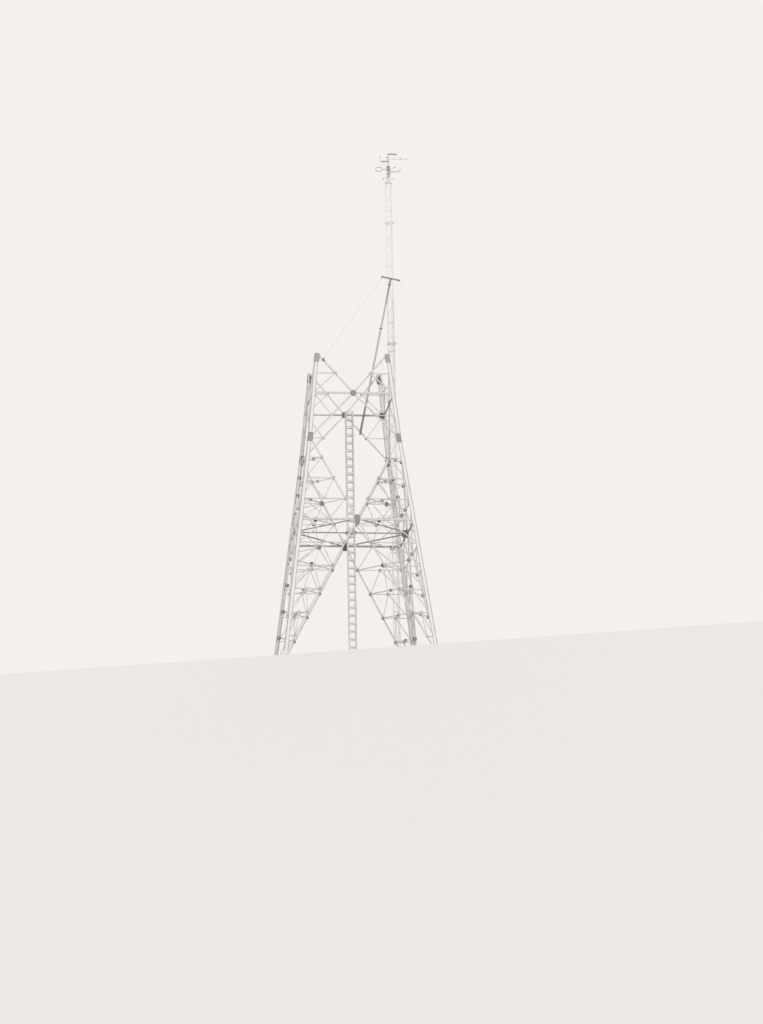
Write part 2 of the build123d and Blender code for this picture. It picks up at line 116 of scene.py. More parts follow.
def aimed(start: Vector, end: Vector, outward: Vector = UP) -> Matrix:
    """Frame at one point with its Z towards another.

    Args:
        start: The origin.
        end: Where Z points.
        outward: Where Y looks, as near as it can.

    Returns:
        The placing matrix.
    """
    upward = (end - start).normalized()
    if abs(upward.dot(outward.normalized())) > PARALLEL:
        outward = Vector((1.0, 0.0, 0.0))
    return frame_at(outward.cross(upward).normalized(), upward, start)


def between(start: Vector, end: Vector, outward: Vector = UP) -> Matrix:
    """Frame that stretches a model one metre long in Z from one point to another."""
    length = (end - start).length
    return aimed(start, end, outward) @ Matrix.Diagonal((1.0, 1.0, length, 1.0))


@dataclass(frozen=True)
class Stretch:
    """Straight stretch of the four faces, with one narrowing from a height upwards."""

    start: float
    width: float
    narrowing: float
    leg_flange: float = 0.25
    leg_thick: float = 0.026

    @property
    def slope(self) -> float:
        """Length along a face for one metre of height."""
        return math.hypot(1.0, self.narrowing)

    @property
    def plate_depth(self) -> float:
        """Thickness of the gusset and node plates, square to a face."""
        return self.leg_thick / self.slope

    def half_width(self, height: float) -> float:
        """Distance from the axis to a face at a height."""
        return self.width + self.narrowing * (self.start - height)

    def leg_line(self, height: float) -> float:
        """Distance from a face's middle line to the middle of a leg's flange."""
        return self.half_width(height) - self.leg_flange / 2

    def on_face(self, face: Face, across: float, height: float, out: float = 0.0) -> Matrix:
        """Frame of a spot on a face: X along the face, Y up its slope, Z outwards.

        Args:
            face: Which face.
            across: Distance from the face's middle line.
            height: Height above the floor.
            out: Distance outwards from the face's surface.

        Returns:
            The frame's matrix.
        """
        outward = (face.outward + UP * self.narrowing).normalized()
        level = face.outward * self.half_width(height) + UP * height
        return frame_at(face.along, outward, level + across * face.along + out * outward)

    def on_leg(
        self, face: Face, side: int, inset: float, height: float, out: float = 0.0
    ) -> Matrix:
        """Frame of a spot on a leg's flange, at a distance in from the leg's corner."""
        return self.on_face(face, side * (self.half_width(height) - inset), height, out)


@dataclass(frozen=True)
class Bar:
    """Lattice bar of half a face, between two spots given by distance across and height."""

    low: Spot
    high: Spot
    main: bool = False


@dataclass(frozen=True)
class TowerForm:
    """Driving sizes of the tower, in metres, as in its construction."""

    waist: float = 9.19
    gusset: float = 14.81
    belt: float = 17.89
    horn: float = 20.63
    half_waist: float = 3.75
    batter: float = 0.13
    top_batter: float = 0.10
    base_thick: float = 0.04
    lower_bays: int = 6
    middle_bays: int = 4
    foot_bay: float = 1.34
    diagonal_foot: float = 0.225
    tie_levels: int = 4
    bar_width: float = 0.056
    bar_depth: float = 0.06

    @property
    def below(self) -> Stretch:
        """The faces below the leg gussets."""
        return Stretch(self.waist, self.half_waist, self.batter)

    @property
    def above(self) -> Stretch:
        """The faces above the leg gussets."""
        return Stretch(self.gusset, self.below.half_width(self.gusset), self.top_batter)

    @property
    def lower_spots(self) -> list[Spot]:
        """Where the lower diagonal passes each level, from the waist down.

        Returns:
            The spots, the waist's first.
        """
        pitch = (self.waist - self.foot_bay) / (self.lower_bays - 1)
        spread = self.below.leg_line(self.diagonal_foot) / (self.waist - self.diagonal_foot)
        drops = [pitch * level for level in range(self.lower_bays)]
        return [(spread * drop, self.waist - drop) for drop in drops]

    @property
    def middle_spots(self) -> list[Spot]:
        """Where the middle diagonal passes each level, from the waist up.

        Returns:
            The spots, the waist's first.
        """
        reach, rise = self.below.leg_line(self.gusset), self.gusset - self.waist
        shares = [level / self.middle_bays for level in range(self.middle_bays)]
        return [(reach * share, self.waist + rise * share) for share in shares]

    def halfway(self, spot: Spot) -> Spot:
        """Spot midway between a diagonal and the leg."""
        return ((spot[0] + self.below.leg_line(spot[1])) / 2, spot[1])

    def at_leg(self, height: float) -> Spot:
        """Spot on a leg's middle line below the gussets."""
        return (self.below.leg_line(height), height)

    def tie_line(self, height: float) -> float:
        """Distance from the axis to where the corner ties at a level would meet."""
        layer = self.below.leg_thick + self.bar_depth * self.below.slope
        return self.below.half_width(height + self.bar_width / 2) - layer

    def belt_nodes(self) -> Iterator[tuple[float, Spot]]:
        """Height that each upper diagonal runs to, with the node midway along it."""
        for height in (self.gusset, self.horn):
            yield height, (self.above.leg_line(height) / 2, (height + self.belt) / 2)

    def bars(self) -> Iterator[tuple[Stretch, Bar]]:
        """Every bar of half a face, each with its stretch.

        Yields:
            The stretch and the bar.
        """
        below, above = self.below, self.above
        middle = (0.0, self.waist)
        lower, upper = self.lower_spots, self.middle_spots
        yield below, Bar(self.at_leg(self.diagonal_foot), middle, True)
        yield below, Bar(middle, self.at_leg(self.gusset), True)
        for spots, rows in ((lower, self.lower_bays - 1), (upper, self.middle_bays - 2)):
            for spot in spots[1:]:
                yield below, Bar(spot, self.at_leg(spot[1]))
            for spot, beyond in zip(spots[:rows], spots[1:]):
                yield below, Bar(self.halfway(spot), beyond)
                yield below, Bar(self.halfway(spot), self.at_leg(beyond[1]))
        yield below, Bar(upper[-1], self.at_leg(upper[-2][1]))
        for height, node in self.belt_nodes():
            yield above, Bar((0.0, self.belt), (above.leg_line(height), height), True)
            for level in (node[1], self.belt):
                yield above, Bar(node, (above.leg_line(level), level))

    def plate_spots(self) -> Iterator[tuple[Stretch, Spot]]:
        """Middle of every node plate of half a face, each with its stretch.

        Yields:
            The stretch and the spot.
        """
        lower, upper = self.lower_spots, self.middle_spots
        nodes = lower[1:] + [self.halfway(spot) for spot in lower[:-1]]
        for spot in nodes + upper[1:] + [self.halfway(upper[1])]:
            yield self.below, spot
        for _, node in self.belt_nodes():
            yield self.above, node


TOWER = TowerForm()
HALVES = list(product(Face, SIDES))


def pick(*pieces: Piece) -> None:
    """Leave object mode with only these objects selected, the first of them active.

    Args:
        pieces: The objects, or none.
    """
    if bpy.context.mode != "OBJECT":
        bpy.ops.object.mode_set(mode="OBJECT")
    bpy.ops.object.select_all(action="DESELECT")
    for piece in pieces:
        piece.select_set(True)
    if pieces:
        bpy.context.view_layer.objects.active = pieces[0]


@contextmanager
def editing() -> Iterator[None]:
    """Edit mode on the active object, with all of it selected at the start.

    Yields:
        Nothing; the mode lasts for the with block.
    """
    bpy.ops.object.mode_set(mode="EDIT")
    bpy.ops.mesh.select_all(action="SELECT")
    yield
    bpy.ops.object.mode_set(mode="OBJECT")


def face_outwards() -> None:
    """Turn every face of the mesh in edit mode outwards."""
    bpy.ops.mesh.select_all(action="SELECT")
    bpy.ops.mesh.normals_make_consistent(inside=False)


def thicken(depth: float) -> None:
    """Extrude the flat mesh in edit mode up Z to a closed solid of some depth."""
    bpy.ops.mesh.extrude_region_move(TRANSFORM_OT_translate={"value": (0, 0, depth)})
    face_outwards()


def take_new(name: str) -> Piece:
    """The active object, with a new name for it and its mesh."""
    bpy.context.active_object.name = bpy.context.active_object.data.name = name
    return bpy.context.active_object


def add_new(name: str, primitive: Callable[..., set[str]], **sizes: object) -> Piece:
    """Add a primitive, with nothing else selected.

    Args:
        name: Its name.
        primitive: The operator that adds it.
        sizes: The operator's settings.

    Returns:
        The new object.
    """
    pick()
    primitive(**sizes)
    return take_new(name)


def settle(piece: Piece, place: Matrix | None = None, smooth: float = 0.0) -> Piece:
    """Move an object's place, turn and size into its mesh.

    Args:
        piece: The object.
        place: Where it goes first, if it has to move.
        smooth: Angle in degrees under which its faces are shaded smooth.

    Returns:
        The same object.
    """
    if place is not None:
        piece.matrix_world = place
    pick(piece)
    bpy.ops.object.transform_apply(location=True, rotation=True, scale=True)
    if smooth:
        bpy.ops.object.shade_smooth_by_angle(angle=math.radians(smooth))
    return piece


def join_pieces(name: str, pieces: Sequence[Piece]) -> Piece:
    """Join several objects into one.

    Args:
        name: Name of the joined object.
        pieces: The objects; the first one stays.

    Returns:
        The joined object.
    """
    pick(*pieces)
    bpy.ops.object.join()
    return take_new(name)


def copies(name: str, model: Piece, places: Sequence[Matrix]) -> Piece:
    """One mesh that holds a copy of a model at each place; the model is used up.

    Args:
        name: The joined piece's name.
        model: The object to repeat, at the origin.
        places: Where each copy goes.

    Returns:
        The joined piece.
    """
    mesh = model.data
    corners = np.array([[*vertex.co, 1.0] for vertex in mesh.vertices])
    loops = [np.array(face.vertices) for face in mesh.polygons]
    smooth = [face.use_smooth for face in mesh.polygons]
    points = np.concatenate([corners @ np.array(place).T for place in places])[:, :3]
    starts = range(0, len(points), len(corners))
    joined = bpy.data.meshes.new(name)
    joined.from_pydata(points.tolist(), [], [(s + loop).tolist() for s in starts for loop in loops])
    joined.polygons.foreach_set("use_smooth", smooth * len(places))
    joined.update()
    piece = bpy.data.objects.new(name, joined)
    bpy.context.scene.collection.objects.link(piece)
    bpy.data.objects.remove(model, do_unlink=True)
    return piece


def node_ends(node: str, reach: float = 0.05) -> tuple[Vector, Vector]:
    """Middles of the low and the high end of a straight node, such as the pole.

    Args:
        node: Name of the node.
        reach: How much of its height counts as an end.

    Returns:
        The low end and the high end.
    """
    points = sorted((vertex.co for vertex in frame["nodes"][node].data.vertices), key=lambda p: p.z)
    low = [point for point in points if point.z < points[0].z + reach]
    high = [point for point in points if point.z > points[-1].z - reach]
    return sum(low, Vector()) / len(low), sum(high, Vector()) / len(high)


def rivet_model(radius: float) -> Piece:
    """Round rivet head that looks along +Z.

    Args:
        radius: Radius of the head.

    Returns:
        A closed dome.
    """
    sphere = bpy.ops.mesh.primitive_uv_sphere_add
    rivet = add_new("rivet_model", sphere, segments=8, ring_count=4, radius=radius)
    with editing():
        cut = {"plane_co": (0, 0, -0.001), "plane_no": (0, 0, 1)}
        bpy.ops.mesh.bisect(**cut, clear_inner=True, use_fill=True)
        bpy.ops.mesh.select_all(action="SELECT")
        bpy.ops.transform.resize(value=(1, 1, RIVET_FLATNESS))
    return settle(rivet, smooth=50.0)


def bolt_model(radius: float) -> Piece:
    """Hexagon nut on a washer, with the end of its bolt, looking along +Z.

    Args:
        radius: Radius of the bolt.

    Returns:
        The joined fitting.
    """
    washer, nut, end = (16, 2.1, 0.0, 0.35), (6, 1.75, 0.35, 1.5), (10, 0.95, 1.5, 2.1)
    made = []
    for sides, reach, low, high in (washer, nut, end):
        sizes = {"radius": reach * radius, "depth": (high - low) * radius}
        middle = (0, 0, (high + low) / 2 * radius)
        cylinder = bpy.ops.mesh.primitive_cylinder_add
        layer = add_new("bolt_layer", cylinder, vertices=sides, location=middle, **sizes)
        with editing():
            bpy.ops.mesh.bevel(offset=0.08 * radius, segments=1)
        made.append(settle(layer))
    return join_pieces("bolt_model", made)


def rod_model(radius: float, sides: int = 8) -> Piece:
    """Rod one metre long from the origin up +Z, of a radius and a number of sides."""
    sizes = {"vertices": sides, "radius": radius, "depth": 1.0, "location": (0, 0, 0.5)}
    return settle(add_new("rod_model", bpy.ops.mesh.primitive_cylinder_add, **sizes), smooth=50.0)


def plate_model(width: float, height: float, depth: float, cut: float) -> Piece:
    """Plate with bevelled corners, lying in XY with its back on the plane.

    Args:
        width: Size in X.
        height: Size in Y.
        depth: Size in Z.
        cut: How far the corners are cut back.

    Returns:
        The plate.
    """
    plate = add_new("plate_model", bpy.ops.mesh.primitive_plane_add, size=1.0)
    settle(plate, Matrix.Diagonal((width, height, 1.0, 1.0)))
    with editing():
        bpy.ops.mesh.bevel(offset=cut, segments=1, affect="VERTICES")
        bpy.ops.mesh.select_all(action="SELECT")
        thicken(depth)
    return plate


def strip_model(width: float, depth: float) -> Piece:
    """Flat bar one metre long up +Z, with its back on the XZ plane and its face towards +Y."""
    bar = plate_model(width, depth, 1.0, depth / 5)
    return settle(bar, moved((0, depth / 2, 0)))


def ring_model(radius: float, thick: float, height: float, sides: int = 20) -> Piece:
    """Band round the Z axis with rounded edges, from the origin upwards.

    Args:
        radius: Inner radius.
        thick: Thickness of the band.
        height: Size in Z.
        sides: Number of segments round.

    Returns:
        The band.
    """
    radii = {"major_radius": radius + thick / 2, "minor_radius": thick / 2}
    cells = {"major_segments": sides, "minor_segments": 8, "location": (0, 0, height / 2)}
    ring = add_new("ring_model", bpy.ops.mesh.primitive_torus_add, **radii, **cells)
    ring.scale.z = height / thick
    return settle(ring, smooth=60.0)


@dataclass(frozen=True)
class Band:
    """Part of a surface between two planes, with a level of its own; for paint, inner is its
    painted-shade level on surfaces that look in.
    """

    low: float
    high: float
    level: float
    inner: float = 0.0
    soft: float = 0.004
    axis: str = "Z"


class Shading:
    """A node tree, with short ways to add nodes and to feed them."""

    def __init__(self, owner: Material | bpy.types.World) -> None:
        """Start the nodes of a material or of the world."""
        owner.use_nodes = True
        self.owner, self.tree = owner, owner.node_tree

    def feed(self, node: bpy.types.Node, inputs: Inputs) -> None:
        """Feed some of a node's inputs.

        Args:
            node: The node.
            inputs: For each input, the socket to link or the value to set.
        """
        for key, value in inputs.items():
            if isinstance(value, bpy.types.NodeSocket):
                self.tree.links.new(value, node.inputs[key])
            else:
                node.inputs[key].default_value = value

    def node(
        self, kind: str, inputs: Inputs | None = None, **settings: str
    ) -> bpy.types.bpy_prop_collection:
        """Add a node.

        Args:
            kind: Its type, without the ShaderNode that starts it.
            inputs: What feeds its inputs.
            settings: Its properties.

        Returns:
            The node's outputs.
        """
        made = self.tree.nodes.new(f"ShaderNode{kind}")
        for key, value in settings.items():
            setattr(made, key, value)
        self.feed(made, inputs or {})
        return made.outputs

    def coordinates(self) -> Socket:
        """The object's own coordinates."""
        return self.node("TexCoord")["Object"]

    def noise(self, scale: float, detail: float, stretch: Sequence[float] = (1, 1, 1)) -> Socket:
        """Noise over the object at so many cells a metre, with X, Y and Z stretched."""
        place = self.node("Mapping", {"Vector": self.coordinates(), "Scale": stretch})["Vector"]
        return self.node("TexNoise", {"Scale": scale, "Detail": detail, "Vector": place})["Fac"]

    def ramp(self, source: Socket, low: float, high: float, bottom: float, top: float) -> Socket:
        """Map a value from the range low to high onto bottom to top, clamped."""
        ranges = {"From Min": low, "From Max": high, "To Min": bottom, "To Max": top}
        return self.node("MapRange", {"Value": source, **ranges})["Result"]

    def blend(self, factor: Socket, first: Socket | Colour, second: Socket | Colour) -> Socket:
        """Mix two colours, from the first at nought to the second at one."""
        inputs = {"Factor": factor, "A": first, "B": second}
        return self.node("Mix", inputs, data_type="RGBA")["Result"]

    def lit_side(self) -> Socket:
        """One on surfaces that look away from the tower's axis, nought on those that look in: the
        mask between painted light and painted shade.

        Returns:
            The factor socket.
        """
        level = {0: self.coordinates(), 1: (1.0, 1.0, 0.0)}
        flat = self.node("VectorMath", level, operation="MULTIPLY")["Vector"]
        unit = self.node("VectorMath", {0: flat}, operation="NORMALIZE")["Vector"]
        both = {0: unit, 1: self.node("NewGeometry")["Normal"]}
        facing = self.node("VectorMath", both, operation="DOT_PRODUCT")["Value"]
        return self.ramp(facing, -0.35, 0.45, 0.0, 1.0)

    def band(self, band: Band) -> Socket:
        """One within a band and nought elsewhere.

        Args:
            band: The band.

        Returns:
            The factor socket.
        """
        place = self.node("SeparateXYZ", {"Vector": self.coordinates()})[band.axis]
        above = self.ramp(place, band.low - band.soft, band.low + band.soft, 0.0, 1.0)
        under = self.ramp(place, band.high - band.soft, band.high + band.soft, 1.0, 0.0)
        return self.node("Math", {0: above, 1: under}, operation="MINIMUM")["Value"]

    def finish(
        self, colour: Socket, rough: Socket, relief: Socket, bump: Pair, metallic: float = 0.0
    ) -> Material:
        """Feed the shader.

        Args:
            colour: The base colour.
            rough: The roughness.
            relief: The surface's small relief.
            bump: Strength of the relief, and its depth in metres.
            metallic: How metallic it is.

        Returns:
            The finished material.
        """
        height = {"Height": relief, "Strength": bump[0], "Distance": bump[1]}
        normal = self.node("Bump", height)["Normal"]
        inputs = {"Base Color": colour, "Roughness": rough, "Normal": normal}
        self.feed(self.tree.nodes["Principled BSDF"], {**inputs, "Metallic": metallic})
        return self.owner


def steel(level: float) -> Colour:
    """Grey of weathered steel at a level, the warmer the darker it is."""
    warmth = max(0.01, 0.19 - 0.27 * level)
    return (*(level * (1 + warmth * part) for part in WARM_PARTS), 1.0)


@dataclass(frozen=True)
class Surface:
    """A finish, with its material's name and the record's slot that it belongs to."""

    name: str
    slot: str

    def make(self) -> Material:
        """Build the material."""
        raise NotImplementedError

    def shading(self) -> Shading:
        """Start the material."""
        return Shading(bpy.data.materials.new(self.name))


@dataclass(frozen=True)
class WeatheredPaint(Surface):
    """Old paint on steel, with painted light on the surfaces that look out from the axis and
    painted shade on those that look in.
    """

    outer: float
    inner: float
    stain: float
    bands: tuple[Band, ...] = ()
    cloud_scale: float = 0.9
    cloud_share: float = 0.22
    run_scale: float = 9.0
    run_squash: float = 0.12
    stain_share: float = 0.7

    def make(self) -> Material:
        """Build the material, clouded all over and stained by runs down its height.

        Returns:
            The paint.
        """
        paint = self.shading()
        lit_side = paint.lit_side()
        # Painted light and shade: the outer level where a surface looks out from the axis, the
        # inner level where it looks in.
        base = paint.blend(lit_side, steel(self.inner), steel(self.outer))
        for band in self.bands:
            # The same painted light and shade within each band.
            banded = paint.blend(lit_side, steel(band.inner), steel(band.level))
            base = paint.blend(paint.band(band), base, banded)
        cloud = paint.ramp(paint.noise(self.cloud_scale, 4.0), 0.3, 0.7, 0.0, self.cloud_share)
        clouded = paint.blend(cloud, base, steel(self.inner))
        runs = paint.noise(self.run_scale, 5.0, (1.0, 1.0, self.run_squash))
        worn = paint.ramp(runs, 0.56, 0.70, 0.0, self.stain_share)
        stained = paint.blend(worn, clouded, steel(self.stain))
        rough = paint.ramp(runs, 0.35, 0.75, 0.50, 0.82)
        return paint.finish(stained, rough, paint.noise(60.0, 3.0), (0.25, 0.004))


@dataclass(frozen=True)
class TarredSpar(Surface):
    """Tarred spar and iron gone grey in the weather, with long grain along its height."""

    dark: float
    worn: float
    bands: tuple[Band, ...] = ()
    grain_scale: float = 28.0
    grain_squash: float = 0.05
    worn_share: float = 0.8

    def make(self) -> Material:
        """Build the material; the tar is gone within the bands.

        Returns:
            The tar.
        """
        tar = self.shading()
        grain = tar.noise(self.grain_scale, 6.0, (1.0, 1.0, self.grain_squash))
        share = tar.ramp(grain, 0.5, 0.72, 0.0, self.worn_share)
        worn = tar.blend(share, steel(self.dark), steel(self.worn))
        for band in self.bands:
            worn = tar.blend(tar.band(band), worn, steel(band.level))
        return tar.finish(worn, tar.ramp(grain, 0.3, 0.7, 0.45, 0.8), grain, (0.5, 0.006))


@dataclass(frozen=True)
class BareMetal(Surface):
    """Dull bare metal with a little grime."""

    clean: float
    grime: float
    bands: tuple[Band, ...] = ()
    metallic: float = 0.4
    dirt_scale: float = 7.0
    dirt_share: float = 0.9

    def make(self) -> Material:
        """Build the material.

        Returns:
            The metal.
        """
        metal = self.shading()
        dirt = metal.noise(self.dirt_scale, 5.0)
        clean = steel(self.clean)
        for band in self.bands:
            clean = metal.blend(metal.band(band), clean, steel(band.level))
        share = metal.ramp(dirt, 0.45, 0.7, 0.0, self.dirt_share)
        colour = metal.blend(share, clean, steel(self.grime))
        rough = metal.ramp(dirt, 0.3, 0.7, 0.35, 0.65)
        relief = metal.noise(120.0, 2.0)
        return metal.finish(colour, rough, relief, (0.15, 0.001), self.metallic)


PLATE_BANDS = (
    Band(TOWER.gusset - 0.32, TOWER.gusset + 0.32, 0.31, 0.26),
    Band(TOWER.horn - 0.64, TOWER.horn + 1.0, 0.38, 0.20),
)
CORE_BANDS = (Band(3.48, 3.72, 0.46, axis="X"), Band(35.0, 35.64, 0.78))
SHAFT_BANDS = (Band(12.0, 20.0, 0.65, 0.56, soft=1.5),)
SPAR_BANDS = (Band(18.6, 25.85, 0.47, soft=0.7),)
MAST_BANDS = (Band(TOWER.horn, 27.0, 0.76, 0.68),)


class Finish(Enum):
    """The finishes of the pieces."""

    # Each paint's first level is painted light on surfaces that look out, and its second is painted
    # shade on those that look in.
    LATTICE = WeatheredPaint("lattice_paint", "lattice_steel", 0.68, 0.56, 0.42)
    # Painted light: a paler copy of the lattice paint for the back and left faces.
    FADED = WeatheredPaint("lit_faces_paint", "lattice_steel", 0.74, 0.67, 0.52)
    # Painted shade: a darker copy of the lattice paint for the belt beams.
    BELT = WeatheredPaint("shaded_belt_paint", "lattice_steel", 0.64, 0.38, 0.32)
    # Painted shade: the darkest copy of the lattice paint, for the waist plan bracing and the right
    # beams.
    GRIMY = WeatheredPaint("deep_shade_paint", "lattice_steel", 0.36, 0.22, 0.20)
    LEG = WeatheredPaint("leg_paint", "leg_steel", 0.81, 0.81, 0.66, PLATE_BANDS)
    # Painted shade: a dark copy of the leg paint, for the shaded edges of the flanges.
    EDGE = WeatheredPaint("shaded_edge_paint", "leg_steel", 0.47, 0.46, 0.36, PLATE_BANDS)
    PLATE = WeatheredPaint("plate_paint", "plate_steel", 0.31, 0.13, 0.12)
    NODE_PLATE = WeatheredPaint("node_plate_paint", "plate_steel", 0.62, 0.18, 0.18)
    HUB_PLATE = WeatheredPaint("hub_plate_paint", "plate_steel", 0.62, 0.31, 0.26)
    # Partly painted shade: the wing plates are given dark paint for the shade they are seen in.
    WING_PLATE = WeatheredPaint("wing_plate_paint", "plate_steel", 0.44, 0.14, 0.16)
    SHAFT = WeatheredPaint("shaft_paint", "shaft_steel", 0.75, 0.67, 0.52, SHAFT_BANDS)
    TAR = TarredSpar("tarred_iron", "derrick_iron", 0.24, 0.34)
    SPAR = TarredSpar("tarred_spar", "derrick_iron", 0.22, 0.32, SPAR_BANDS)
    ROPE = BareMetal("rope_wire", "wire_rope", 0.68, 0.56)
    PALE = WeatheredPaint("mast_paint", "mast_steel", 0.865, 0.825, 0.74, MAST_BANDS)
    AERIAL = BareMetal("aerial_alloy", "aerial_metal", 0.50, 0.42, CORE_BANDS)
    ELEMENT = BareMetal("element_alloy", "aerial_metal", 0.46, 0.36)
    INSULATOR = BareMetal("insulator_glaze", "aerial_metal", 0.34, 0.27, metallic=0.0)


@cache
def material(finish: Finish) -> Material:
    """The material of a finish, made once."""
    return finish.value.make()


def dress_nodes() -> None:
    """Give every node of the frame its finish."""
    for row in frame["record"]["subparts"]:
        node = row["node"]
        finish = next(finish for finish in Finish if finish.value.slot == row["material_slot"])
        if node == "node_plates":
            finish = Finish.NODE_PLATE
        elif node == "derrick_pole":
            finish = Finish.SPAR
        elif node in ("waist_plan_bracing", "right_waist_beam", "right_upper_beam"):
            # Painted shade: the waist plan bracing and the right beams take the darkest copy.
            finish = Finish.GRIMY
        elif node.endswith("_beam"):
            # Painted shade: the belt beams take the darker copy.
            finish = Finish.BELT
        elif node.startswith(("back_", "left_")) and node.endswith("_bracing"):
            # Painted light: the back and left bracing take the paler copy.
            finish = Finish.FADED
        mesh = frame["nodes"][node].data
        mesh.materials.clear()
        mesh.materials.append(material(finish))


@dataclass
class SubAssembly:
    """Pieces added to some nodes of the frame, each with its finish."""

    made: list[tuple[Piece, Finish]] = field(default_factory=list, init=False)

    def add(self, piece: Piece, finish: Finish) -> None:
        """Keep a piece with its finish."""
        self.made.append((piece, finish))

    def repeat(self, name: str, model: Piece, places: Sequence[Matrix], finish: Finish) -> None:
        """Add one piece that holds a copy of a model at each place."""
        self.add(copies(name, model, places), finish)

    def build(self) -> None:
        """Model the pieces."""
        raise NotImplementedError

    def dress(self) -> None:
        """Give every piece its finish and its body."""
        for piece, choice in self.made:
            piece.data.materials.clear()
            piece.data.materials.append(material(choice))
            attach(piece, BODY)
        LOG.info("%s: %d pieces", type(self).__name__, len(self.made))


@dataclass
class LegDetail(SubAssembly):
    """Edge strips, rivets and plate bolts of the legs, and step bolts on one of them."""

    strip_width: float = 0.042
    strip_depth: float = 0.012
    strip_margin: float = 0.004
    strip_foot: float = 0.30
    top_gap: float = 0.01
    rivet_radius: float = 0.014
    rivet_pitch: float = 0.36
    plate_height: float = 0.64
    gusset_rows: int = 7
    horn_rows: int = 6
    bolt_radius: float = 0.012
    bolt_insets: Pair = (0.125, 0.285)
    horn_edge: float = 0.06
    step_radius: float = 0.009
    step_length: float = 0.15
    step_pitch: float = 0.35

    def runs(self) -> tuple[tuple[Stretch, float, float], ...]:
        """The leg's two straight runs with their lowest and highest heights."""
        top = TOWER.horn - self.top_gap
        return ((TOWER.below, self.strip_foot, TOWER.gusset), (TOWER.above, TOWER.gusset, top))

    def build(self) -> None:
        """Model the strips, the rivets, the plate bolts and the step bolts."""
        strips, rivets, steps = [], [], []
        inset = self.strip_width / 2 + self.strip_margin
        for (face, side), (stretch, low, high) in product(HALVES, self.runs()):
            free_edge = stretch.leg_flange - inset
            count = int((high - low) / self.rivet_pitch)
            levels = [low + (high - low) * (step + 0.5) / count for step in range(count)]
            for edge, depth in ((free_edge, -stretch.leg_thick), (inset, 0.0), (free_edge, 0.0)):
                ends = [stretch.on_leg(face, side, edge, height, depth) for height in (low, high)]
                outward = ends[0].col[2].xyz * (-1 if depth else 1)
                strips.append(between(ends[0].translation, ends[1].translation, outward))
                if not depth:
                    out = self.strip_depth
                    rivets += [stretch.on_leg(face, side, edge, level, out) for level in levels]
        for stretch, low, high in self.runs():
            for step in range(int((high - low) / self.step_pitch)):
                height = low + self.step_pitch * (step + 0.5)
                spot = stretch.on_face(Face.RIGHT, stretch.leg_line(height), height)
                end = spot.translation + spot.col[2].xyz * self.step_length
                steps.append(between(spot.translation, end))
        strip = strip_model(self.strip_width, self.strip_depth)
        # Painted shade: the edge strips and their rivets take the dark copy of the leg paint.
        self.repeat("leg_edge_strips", strip, strips, Finish.EDGE)
        self.repeat("leg_rivets", rivet_model(self.rivet_radius), rivets, Finish.EDGE)
        bolts = list(self.plate_bolts())
        self.repeat("leg_plate_bolts", bolt_model(self.bolt_radius), bolts, Finish.PLATE)
        self.repeat("leg_step_bolts", rod_model(self.step_radius, 6), steps, Finish.LEG)

    def plate_bolts(self) -> Iterator[Matrix]:
        """Places of the bolts on the gusset plates and horn plates, fewer in their end rows.

        Yields:
            The placing matrices.
        """
        gap = self.plate_height / self.gusset_rows
        rows = []
        for row in range(self.gusset_rows):
            rise = row - self.gusset_rows // 2
            stretch = TOWER.above if rise > 0 else TOWER.below
            rows.append((stretch, TOWER.gusset + rise * gap, 0 < row < self.gusset_rows - 1))
        for row in range(self.horn_rows):
            height = TOWER.horn - self.horn_edge - row * gap
            rows.append((TOWER.above, height, 0 < row < self.horn_rows - 1))
        for (face, side), (stretch, height, full) in product(HALVES, rows):
            for inset in self.bolt_insets if full else self.bolt_insets[:1]:
                yield stretch.on_leg(face, side, inset, height)


